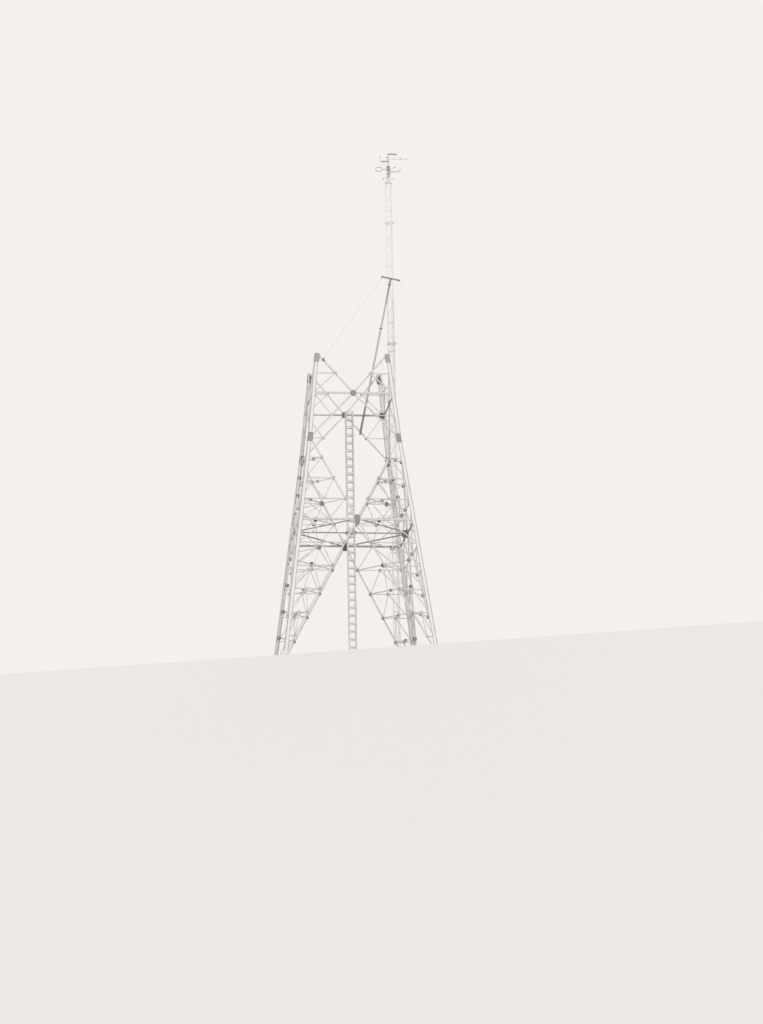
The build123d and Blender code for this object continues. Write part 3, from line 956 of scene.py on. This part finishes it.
@dataclass
class LatticeDetail(SubAssembly):
    """Edge angles of the lattice bars, inner gussets, and the rivets of node plates and gussets."""

    main_width: float = 0.105
    lip_width: float = 0.028
    lip_depth: float = 0.009
    rivet_radius: float = 0.012
    rivet_shift: float = 0.072
    rivet_rise: float = 0.0612
    gusset_margin: float = 0.05
    end_row_share: float = 0.4
    inner_thick: float = 0.012
    wing_thick: float = 0.014
    wing_share: float = 0.8
    plate_cut: float = 0.06
    wing_cut: float = 0.08
    waist_plate: Pair = (0.34, 0.62)
    belt_plate: Pair = (0.33, 0.38)
    corner_plate: Pair = (0.38, 0.34)

    @property
    def crossings(self) -> tuple[tuple[str, Stretch, float, Pair, int], ...]:
        """The belts' crossings: name, stretch, height, plate's width and height, rivet rows."""
        waist = ("waist", TOWER.below, TOWER.waist, self.waist_plate, 6)
        return (waist, ("belt", TOWER.above, TOWER.belt, self.belt_plate, 4))

    def build(self) -> None:
        """Model the angles' lips, the rivets, the inner gussets and their wings."""
        rivets, lips = [*self.node_rivets(), *self.gusset_rivets()], list(self.lip_places())
        lip = strip_model(self.lip_width, self.lip_depth)
        self.repeat("bar_lips", lip, lips, Finish.LATTICE)
        self.repeat("plate_rivets", rivet_model(self.rivet_radius), rivets, Finish.PLATE)
        for name, stretch, height, size, _ in self.crossings:
            depth = stretch.plate_depth + TOWER.bar_depth
            places = [stretch.on_face(face, 0.0, height, -depth) @ HALF_TURN for face in Face]
            plate = plate_model(*size, self.inner_thick, self.plate_cut)
            self.repeat(f"{name}_inner_gussets", plate, places, Finish.PLATE)
        self.build_wings()

    def build_wings(self) -> None:
        """Model the wings on the waist's inner gussets, and the belt's back right plate."""
        below, above = TOWER.below, TOWER.above
        width, height = self.waist_plate
        depth = below.plate_depth + TOWER.bar_depth + width / 2
        square = moved((-self.wing_thick / 2, 0.0, 0.0)) @ QUARTER_TURN
        places = [below.on_face(face, 0.0, TOWER.waist, -depth) @ square for face in Face]
        height *= self.wing_share
        wing = plate_model(width, height, self.wing_thick, self.wing_cut)
        self.repeat("waist_gusset_wings", wing, places, Finish.PLATE)
        across = above.half_width(TOWER.belt) - above.leg_thick - self.corner_plate[0] / 2
        corner = above.on_face(Face.BACK, -across, TOWER.belt, -above.leg_thick - TOWER.bar_depth)
        plate = plate_model(*self.corner_plate, self.wing_thick, self.plate_cut)
        self.repeat("belt_corner_plate", plate, [corner @ HALF_TURN], Finish.PLATE)

    def lip_places(self) -> Iterator[Matrix]:
        """Places of the lips along the bars: two on a main diagonal, one on a thin bar.

        Yields:
            The placing matrices.
        """
        reach = (self.main_width - self.lip_width) / 2
        for (face, side), (stretch, bar) in product(HALVES, TOWER.bars()):
            low, high = (
                stretch.on_face(face, side * across, height, -stretch.plate_depth)
                for across, height in (bar.low, bar.high)
            )
            outward, start, end = low.col[2].xyz, low.translation, high.translation
            square = outward.cross((end - start).normalized())
            for shift in (-reach, reach) if bar.main else (0.0,):
                yield between(start + square * shift, end + square * shift, outward)

    def node_rivets(self) -> Iterator[Matrix]:
        """Places of the four rivets in each node plate.

        Yields:
            The placing matrices.
        """
        for half, plate, x, y in product(HALVES, TOWER.plate_spots(), SIDES, SIDES):
            (face, side), (stretch, (across, height)) = half, plate
            shifted = side * across + x * self.rivet_shift
            yield stretch.on_face(face, shifted, height + y * self.rivet_rise)

    def gusset_rivets(self) -> Iterator[Matrix]:
        """Places of the rivets round the gusset plates, closer together in their end rows.

        Yields:
            The placing matrices.
        """
        for face, (_, stretch, middle, (width, tall), rows) in product(Face, self.crossings):
            for row in range(rows):
                share = row / (rows - 1) - 0.5
                height = middle + share * (tall - 2 * self.gusset_margin)
                reach = width / 2 - self.gusset_margin
                shifts = [-reach, 0.0, reach]
                if row in (0, rows - 1):
                    shifts = [-reach * self.end_row_share, reach * self.end_row_share]
                for across in shifts:
                    yield stretch.on_face(face, across, height)


@dataclass
class CornerTieDetail(SubAssembly):
    """Hub plates midway along the corner ties, their bolts, wing plates and hip bars."""

    bolt_radius: float = 0.011
    bolt_spread: float = 0.062
    plate_thick: float = 0.016
    heavy_hub: float = 0.30
    light_hub: float = 0.19
    hub_depth: float = 0.014
    heavy_cut: float = 0.08
    light_cut: float = 0.05
    wing_size: float = 0.25
    wing_thick: float = 0.014
    wing_sink: float = 0.085
    hip_width: float = 0.034
    hip_depth: float = 0.012
    hip_gap: float = 0.01

    def build(self) -> None:
        """Model the hubs, the bolts, the wing plates and the hip bars."""
        heavy, light, bolts, hips = [], [], [], []
        lower, upper = TOWER.lower_spots, TOWER.middle_spots
        spots = lower[1 : TOWER.tie_levels + 1] + upper[1:]
        next_down = {lower[1]: lower[2], upper[1]: upper[0]}
        back = TOWER.bar_width / 2
        for spot, corner in product(spots, Corner):
            outward = corner.point(1.0, 1.0, 0.0).normalized()
            midway = (spot[0] + TOWER.tie_line(spot[1])) / 2
            middle = corner.point(midway, midway, spot[1])
            tie = frame_at(UP.cross(outward), outward, middle)
            hub = tie @ moved((0, 0, back + self.plate_thick))
            hidden = tie @ HALF_TURN @ moved((0, 0, back))
            (heavy if spot in next_down else light).extend((hub, hidden))
            for x, y in product(SIDES, SIDES):
                place = (x * self.bolt_spread, y * self.bolt_spread, self.hub_depth)
                bolts.append(hub @ moved(place))
            if spot in next_down:
                hips.extend(self.hip_places(corner, middle, next_down[spot]))
        wings = [
            TOWER.below.on_face(face, side * across, height, -self.wing_sink) @ QUARTER_TURN
            for (face, side), (across, height) in product(HALVES, spots)
        ]
        heavy_plate = plate_model(self.heavy_hub, self.heavy_hub, self.hub_depth, self.heavy_cut)
        light_plate = plate_model(self.light_hub, self.light_hub, self.hub_depth, self.light_cut)
        wing_plate = plate_model(self.wing_size, self.wing_size, self.wing_thick, self.light_cut)
        hip_bar = strip_model(self.hip_width, self.hip_depth)
        self.repeat("tie_heavy_hubs", heavy_plate, heavy, Finish.PLATE)
        self.repeat("tie_light_hubs", light_plate, light, Finish.HUB_PLATE)
        self.repeat("tie_plate_bolts", bolt_model(self.bolt_radius), bolts, Finish.PLATE)
        # Partly painted shade: dark wing plates at the tie levels.
        self.repeat("tie_wing_plates", wing_plate, wings, Finish.WING_PLATE)
        self.repeat("hip_bars", hip_bar, hips, Finish.LATTICE)

    def hip_places(self, corner: Corner, middle: Vector, lower: Spot) -> Iterator[Matrix]:
        """Places of the bars from a tie's middle to the leg and to the nodes below.

        Args:
            corner: Which leg's corner.
            middle: The tie's middle.
            lower: Spot of the diagonal one level down.

        Yields:
            The placing matrices.
        """
        below = TOWER.below
        for height in (middle.z, lower[1]):
            reach = below.half_width(height) - below.leg_thick - self.hip_gap
            yield between(middle, corner.point(reach, reach, height))
        across, height = TOWER.halfway(lower)
        depth = below.half_width(height) - below.plate_depth - TOWER.bar_depth / 2
        for x, y in ((across, depth), (depth, across)):
            yield between(middle, corner.point(x, y, height))


@dataclass
class BaseDetail(SubAssembly):
    """Anchor bolts and stiffeners of the four base plates."""

    anchor_radius: float = 0.013
    anchor_spread: float = 0.19
    web_reach: float = 0.125
    web_height: float = 0.21
    web_thick: float = 0.014
    web_spread: float = 0.06

    def build(self) -> None:
        """Model the bolts and the stiffeners."""
        anchors, webs = [], []
        below = TOWER.below
        centre = below.leg_line(TOWER.base_thick)
        face_line = (below.leg_flange - below.leg_thick) / 2
        for corner, side in product(Corner, SIDES):
            middle = corner.point(centre, centre, TOWER.base_thick)
            spread = Vector((side * self.anchor_spread, 0.0, 0.0))
            anchors.append(moved(middle + spread))
            for outward in (corner.point(1.0, 0.0, 0.0), corner.point(0.0, 1.0, 0.0)):
                sideways = UP.cross(outward) * side * self.web_spread
                spot = middle + outward * face_line + sideways
                webs.append(frame_at(outward, outward.cross(UP), spot))
        self.repeat("anchor_bolts", bolt_model(self.anchor_radius), anchors, Finish.TAR)
        self.repeat("base_stiffeners", self.web_model(), webs, Finish.LEG)

    def web_model(self) -> Piece:
        """Three-cornered stiffener.

        Returns:
            The stiffener: X out from the leg, Y up, its middle plane on Z = 0.
        """
        circle = bpy.ops.mesh.primitive_circle_add
        web = add_new("web_model", circle, vertices=3, radius=1.0, fill_type="NGON")
        corners = ((0.0, 0.0), (self.web_reach, 0.0), (0.0, self.web_height))
        for vertex, corner in zip(web.data.vertices, corners):
            vertex.co = (*corner, -self.web_thick / 2)
        with editing():
            thicken(self.web_thick)
        return web


@dataclass
class ShaftDetail(SubAssembly):
    """Rivets on the battens of the central shaft."""

    size: float = 0.52
    top: float = 17.35
    pitch: float = 0.525
    top_inset: float = 0.02
    foot: float = 0.04
    rivet_radius: float = 0.011
    rivet_reaches: Pair = (0.24, 0.20)

    def build(self) -> None:
        """Model the rivets, with the top row set down onto its batten."""
        rivets = []
        bays = int((self.top - self.foot) // self.pitch)
        levels = [self.top - bay * self.pitch for bay in range(bays)]
        levels[0] -= self.top_inset
        for face, level, side, reach in product(Face, levels, SIDES, self.rivet_reaches):
            spot = face.outward * self.size / 2 + face.along * side * reach + UP * level
            rivets.append(frame_at(face.along, face.outward, spot))
        self.repeat("shaft_rivets", rivet_model(self.rivet_radius), rivets, Finish.SHAFT)


@dataclass
class DerrickDetail(SubAssembly):
    """Bands of the pole, fittings of its cross head, the laid stay and the block's pins."""

    bands: tuple[tuple[float, float, float], ...] = (
        (0.012, 0.10, 0.018),
        (0.25, 0.06, 0.016),
        (0.672, 0.08, 0.05),
        (0.964, 0.08, 0.05),
    )
    band_sink: float = 0.002
    foot_radius: float = 0.072
    head_radius: float = 0.056
    bolt_radius: float = 0.012
    head_size: float = 0.09
    head_bolts: tuple[Spot, ...] = (
        (-0.58, 0.07), (-0.05, 0.045), (0.05, 0.045), (0.58, 0.07),
    )
    stay_radius: float = 0.009
    sleeve_thick: float = 0.007
    sleeve_reach: Pair = (0.03, 0.20)
    strand_count: int = 5
    lay_length: float = 0.22
    segments_per_turn: int = 8
    cheek_reach: float = 0.04

    def build(self) -> None:
        """Model the pole's bands, its cross head's through bolts, the stay and the pin's nuts."""
        low, high = node_ends("derrick_pole")
        length = (high - low).length
        pole = aimed(low, high, Vector((0.0, 1.0, 0.0)))
        bands, bolts, nuts = [], [], []
        for share, width, thick in self.bands:
            radius = self.foot_radius + (self.head_radius - self.foot_radius) * share
            rise = moved((0, 0, length * share - width / 2))
            bands.append(settle(ring_model(radius - self.band_sink, thick, width), pole @ rise))
        self.add(join_pieces("pole_bands", bands), Finish.TAR)
        for (across, out), side in product(self.head_bolts, SIDES):
            spot = moved((across, side * out, length + self.head_size / 2))
            bolts.append(pole @ spot @ Matrix.Rotation(-side * math.pi / 2, 4, "X"))
        self.repeat("cross_head_bolts", bolt_model(self.bolt_radius), bolts, Finish.TAR)
        self.build_stay()
        lowest, highest = (Vector(corner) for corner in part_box("stay_block"))
        face = TOWER.above.on_face(Face.FRONT, 0.0, TOWER.horn)
        for side in SIDES:
            outward = face.col[2].xyz * side
            spot = (lowest + highest) / 2 + outward * self.cheek_reach
            nuts.append(frame_at(Face.FRONT.along, outward, spot))
        self.repeat("block_pin_nuts", bolt_model(self.bolt_radius), nuts, Finish.TAR)

    def strand_model(self, length: float) -> Piece:
        """One strand of the stay.

        Args:
            length: The stay's length.

        Returns:
            The strand, wound round the Z axis from the origin upwards.
        """
        turns = length / self.lay_length
        radius = self.stay_radius / (1 + 1 / math.sin(math.pi / self.strand_count))
        sizes = {"radius": radius, "location": (self.stay_radius - radius, 0, 0)}
        circle = bpy.ops.mesh.primitive_circle_add
        strand = settle(add_new("strand_model", circle, vertices=6, **sizes))
        screw = strand.modifiers.new("lay", "SCREW")
        screw.angle = 2 * math.pi * turns
        screw.screw_offset = length
        screw.steps = screw.render_steps = int(turns * self.segments_per_turn)
        bpy.ops.object.modifier_apply(modifier=screw.name)
        with editing():
            bpy.ops.mesh.fill_holes(sides=0)
            face_outwards()
        return strand

    def build_stay(self) -> None:
        """Model the stay as strands laid round its line, in place of its plain rod."""
        low, high = node_ends("derrick_stay")
        place, step = aimed(low, high), 2 * math.pi / self.strand_count
        turns = [Matrix.Rotation(step * index, 4, "Z") for index in range(self.strand_count)]
        strand = self.strand_model((high - low).length)
        stay = copies("laid_stay", strand, [place @ turn for turn in turns])
        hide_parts("derrick_stay")
        self.add(stay, Finish.ROPE)
        run = (high - low).normalized()
        near, far = (run * reach for reach in self.sleeve_reach)
        sleeves = [between(low + near, low + far), between(high - far, high - near)]
        sleeve = rod_model(self.stay_radius + self.sleeve_thick, 12)
        self.repeat("stay_sleeves", sleeve, sleeves, Finish.TAR)


@dataclass
class MastDetail(SubAssembly):
    """Zigzag lacing, joint bolts and collar bolts of the antenna mast."""

    x: float = 3.6
    y: float = 5.42
    side: float = 0.49
    turn: float = -82.0
    wall: float = 0.016
    foot: float = 0.04
    top: float = 35.3
    pitch: float = 2.01
    panels: int = 3
    lace_radius: float = 0.011
    lace_inset: float = 0.0434
    bolt_radius: float = 0.008
    bolt_shares: tuple[float, ...] = (0.05, 0.11, 0.89, 0.95)
    top_inset: float = 0.015
    collars: tuple[float, ...] = (23.77, 32.4)
    collar_thick: float = 0.06
    collar_bolt_radius: float = 0.0112
    collar_reach: float = 0.2577

    def around(self, index: float, radius: float, height: float = 0.0) -> Vector:
        """Point round the mast's axis, where each whole index is one of its corners."""
        out = Matrix.Rotation(math.radians(self.turn + 120 * index), 3, "Z").col[0] * radius
        return Vector((self.x, self.y, height)) + out

    def build(self) -> None:
        """Model the lacing, the joint bolts and the clamp bolts on top of the collars."""
        laces, bolts, clamps = [], [], []
        radius = self.side / math.sqrt(3)
        panel, share = self.pitch / self.panels, self.lace_inset / self.side
        for index in range(3):
            low, high = (self.around(index + step, radius - self.wall) for step in (0, 1))
            ends = (low.lerp(high, share), low.lerp(high, 1 - share))
            for step in range(int((self.top - self.foot) / panel)):
                start, end = ends if step % 2 == 0 else ends[::-1]
                base = self.top - (step + 1) * panel
                laces.append(between(start + UP * base, end + UP * (base + panel)))
            outward = self.around(index + 0.5, 1.0) - self.around(0.0, 0.0)
            near, far = self.around(index, radius), self.around(index + 1, radius)
            joints = int((self.top - self.foot) / self.pitch) + 1
            levels = [self.top - joint * self.pitch for joint in range(joints)]
            levels[0] -= self.top_inset
            for level, spot_share in product(levels, self.bolt_shares):
                spot = near.lerp(far, spot_share) + UP * level
                bolts.append(frame_at((high - low).normalized(), outward, spot))
            for height in self.collars:
                top = height + self.collar_thick / 2
                spot = self.around(index + 0.5, self.collar_reach, top)
                clamps.append(moved(spot))
        self.repeat("mast_lacing", rod_model(self.lace_radius, 6), laces, Finish.PALE)
        self.repeat("mast_joint_bolts", bolt_model(self.bolt_radius), bolts, Finish.PALE)
        self.repeat("collar_bolts", bolt_model(self.collar_bolt_radius), clamps, Finish.PALE)


@dataclass
class AerialDetail(SubAssembly):
    """Rings of the aerial's core, sleeves and insulators on its arms, and its thin elements."""

    x: float = MastDetail.x
    y: float = MastDetail.y
    base: float = MastDetail.top
    core_radius: float = 0.1
    ring_rises: tuple[float, ...] = (0.06, 0.58, 1.14)
    ring_sink: float = 0.004
    ring_thick: float = 0.022
    ring_height: float = 0.05
    end_sink: float = 0.006
    end_thick: float = 0.012
    end_height: float = 0.03
    insulator_radius: float = 0.034
    shed_rises: tuple[float, ...] = (0.012, 0.038, 0.064)
    shed_flatness: float = 0.42
    element_radius: float = 0.012
    elements: tuple[tuple[Spot, Spot], ...] = (
        ((-0.52, 1.53), (-0.56, 1.90)),
        ((-0.12, 1.53), (-0.08, 1.88)),
        ((0.0, 1.70), (1.38, 1.76)),
        ((0.70, 0.80), (0.82, 0.98)),
        ((0.0, 0.86), (0.47, 1.16)),
        ((0.0, 0.62), (0.36, 0.80)),
        ((-0.07, 0.30), (-0.36, 0.30)),
        ((-0.36, 0.30), (-0.36, 0.14)),
        ((0.07, 0.28), (0.34, 0.28)),
        ((-0.16, 0.02), (-0.20, -0.14)),
        ((0.14, 0.02), (0.22, -0.14)),
    )
    insulators: tuple[Spot, ...] = (
        (-0.55, 1.83), (-0.08, 1.80), (0.86, 1.71), (0.82, 0.90), (0.47, 1.08),
        (-0.36, 0.24), (0.34, 0.24),
    )
    sleeves: tuple[tuple[float, Spot, Spot], ...] = (
        (0.042, (-0.02, 2.065), (0.58, 2.065)),
        (0.042, (-0.47, 1.53), (0.04, 1.53)),
        (0.026, (0.46, 0.81), (0.74, 0.81)),
        (0.125, (0.0, 0.86), (0.0, 1.16)),
    )

    def at(self, across: float, rise: float) -> Vector:
        """Point in the aerial's plane."""
        return Vector((self.x + across, self.y, self.base + rise))

    def build(self) -> None:
        """Model the rings, the elements, the sleeves over the arms and core, and the insulators."""
        rings, radius = [], self.core_radius - self.ring_sink
        for rise in self.ring_rises:
            ring = ring_model(radius, self.ring_thick, self.ring_height, 24)
            rings.append(settle(ring, moved(self.at(0.0, rise))))
        self.add(join_pieces("core_rings", rings), Finish.INSULATOR)
        elements = [between(self.at(*low), self.at(*high)) for low, high in self.elements]
        self.repeat("aerial_elements", rod_model(self.element_radius), elements, Finish.ELEMENT)
        sleeves = [self.sleeve_model(*sleeve) for sleeve in self.sleeves]
        self.add(join_pieces("aerial_sleeves", sleeves), Finish.INSULATOR)
        places = [moved(self.at(*spot)) for spot in self.insulators]
        self.repeat("aerial_insulators", self.insulator_model(), places, Finish.INSULATOR)

    def sleeve_model(self, radius: float, low: Spot, high: Spot) -> Piece:
        """Thick sleeve with a ring at either end.

        Args:
            radius: Its radius.
            low: Where it starts in the aerial's plane.
            high: Where it ends.

        Returns:
            The sleeve in its place.
        """
        start, end = self.at(*low), self.at(*high)
        parts = [settle(rod_model(radius, 16), between(start, end))]
        for reach in (0.0, (end - start).length):
            place = aimed(start, end) @ moved((0, 0, reach))
            ring = ring_model(radius - self.end_sink, self.end_thick, self.end_height, 16)
            parts.append(settle(ring, place))
        return join_pieces("sleeve", parts)

    def insulator_model(self) -> Piece:
        """Ribbed insulator: three shed discs, from the origin up +Z.

        Returns:
            The joined insulator.
        """
        discs = []
        sizes = {"segments": 14, "ring_count": 8, "radius": self.insulator_radius}
        for rise in self.shed_rises:
            sphere = bpy.ops.mesh.primitive_uv_sphere_add
            disc = add_new("shed_disc", sphere, location=(0, 0, rise), **sizes)
            disc.scale.z = self.shed_flatness
            discs.append(settle(disc, smooth=50.0))
        return join_pieces("insulator_model", discs)


@dataclass
class TieDetail(SubAssembly):
    """Clamp bolts where the three ties hold the antenna mast to the tower."""

    bolt_radius: float = 0.012
    tie_width: float = 0.07
    reaches: tuple[float, ...] = (0.10, 0.22)
    heights: tuple[float, ...] = (TOWER.waist, TOWER.belt, 20.26)

    def build(self) -> None:
        """Model the bolts on the upper side of each tie, at its tower end."""
        places = []
        for height, reach in product(self.heights, self.reaches):
            stretch = TOWER.below if height < TOWER.gusset else TOWER.above
            leg = Vector((stretch.leg_line(height), stretch.half_width(height), height))
            run = (Vector((MastDetail.x, MastDetail.y, height)) - leg).normalized()
            places.append(moved(leg + run * reach + UP * self.tie_width / 2))
        self.repeat("tie_bolts", bolt_model(self.bolt_radius), places, Finish.PALE)


@dataclass
class Studio:
    """Floor, light, backdrop and camera."""

    backdrop: Colour = (0.9097, 0.8697, 0.8371, 1.0)
    light_tint: Colour = (1.0, 0.956, 0.92, 1.0)
    sun_strength: float = 0.75
    sun_width: float = 14.0
    sun_tilt: float = 52.0
    sun_heading: float = -38.0
    floor_levels: Pair = (0.70, 0.679)
    floor_gap: float = 0.001
    floor_reach: float = 320.0
    floor_cells: int = 200
    cell_growth: float = 2.6
    rim_middle: float = -7.15
    rim_slope: float = 0.38
    fall: float = 0.75
    fall_depth: float = 60.0
    lens: float = 117.204
    camera_distance: float = 210.398
    camera_height: float = -42.523
    camera_azimuth: float = -0.11198
    camera_yaw: float = -0.00952
    camera_pitch: float = 0.2471
    camera_roll: float = -0.01914

    def build(self) -> None:
        """Make the floor, level up to a rim in front of the tower, the light and the camera."""
        cells = {"x_subdivisions": self.floor_cells, "y_subdivisions": self.floor_cells}
        floor = add_new("floor", bpy.ops.mesh.primitive_grid_add, size=2.0, **cells)
        for vertex in floor.data.vertices:
            x, beyond = (
                math.copysign(abs(value) ** self.cell_growth, value) * self.floor_reach
                for value in vertex.co[:2]
            )
            rim = self.rim_middle - self.rim_slope * x
            drop = min(self.fall * max(0.0, -beyond), self.fall_depth)
            vertex.co = (x, rim + beyond, -drop - self.floor_gap)
        plain = Shading(bpy.data.materials.new("floor_tone"))
        tones = ((level, level, level, 1.0) for level in self.floor_levels)
        inputs = {"Base Color": plain.blend(plain.noise(0.02, 2.0), *tones), "Roughness": 0.9}
        plain.feed(plain.tree.nodes["Principled BSDF"], inputs)
        floor.data.materials.append(plain.owner)
        self.light()
        self.look()

    def light(self) -> None:
        """Soft sky all round, with a broad key lamp from the upper left."""
        nodes = Shading(bpy.data.worlds.new("sky"))
        bpy.context.scene.world = nodes.owner
        nodes.tree.nodes.clear()
        rays = nodes.node("LightPath")
        seen = rays["Is Camera Ray"]
        for ray in ("Is Glossy Ray", "Is Transmission Ray"):
            seen = nodes.node("Math", {0: seen, 1: rays[ray]}, operation="MAXIMUM")[0]
        tones = (self.light_tint, self.backdrop)
        sky, backdrop = (nodes.node("Background", {"Color": tone})[0] for tone in tones)
        mixed = nodes.node("MixShader", {0: seen, 1: sky, 2: backdrop})[0]
        nodes.node("OutputWorld", {0: mixed})
        lamp = bpy.data.lights.new("key", "SUN")
        lamp.energy = self.sun_strength
        lamp.angle = math.radians(self.sun_width)
        lamp.color = self.light_tint[:3]
        key = bpy.data.objects.new("key", lamp)
        key.rotation_euler = (math.radians(self.sun_tilt), 0.0, math.radians(self.sun_heading))
        bpy.context.scene.collection.objects.link(key)

    def look(self) -> None:
        """Set the camera at the photograph's viewing angle."""
        lens = bpy.data.cameras.new("camera")
        lens.lens = self.lens
        lens.sensor_width = 36.0
        lens.clip_start = 1.0
        lens.clip_end = 2000.0
        camera = bpy.data.objects.new("camera", lens)
        away = Vector((0.0, -self.camera_distance, self.camera_height))
        camera.matrix_world = (
            moved(Matrix.Rotation(self.camera_azimuth, 3, "Z") @ away)
            @ Matrix.Rotation(self.camera_azimuth + self.camera_yaw, 4, "Z")
            @ Matrix.Rotation(math.pi / 2 + self.camera_pitch, 4, "X")
            @ Matrix.Rotation(self.camera_roll, 4, "Z")
        )
        bpy.context.scene.collection.objects.link(camera)
        bpy.context.scene.camera = camera
        bpy.context.scene.view_settings.view_transform = "Standard"


def main() -> None:
    """Build every sub-assembly in order and report each."""
    logging.basicConfig(level=logging.INFO, format="%(name)s: %(message)s")
    Studio().build()
    dress_nodes()
    tower = (LegDetail(), LatticeDetail(), CornerTieDetail(), BaseDetail(), ShaftDetail())
    for part in (*tower, DerrickDetail(), MastDetail(), AerialDetail(), TieDetail()):
        part.build()
        part.dress()


if __name__ == "__main__":
    main()
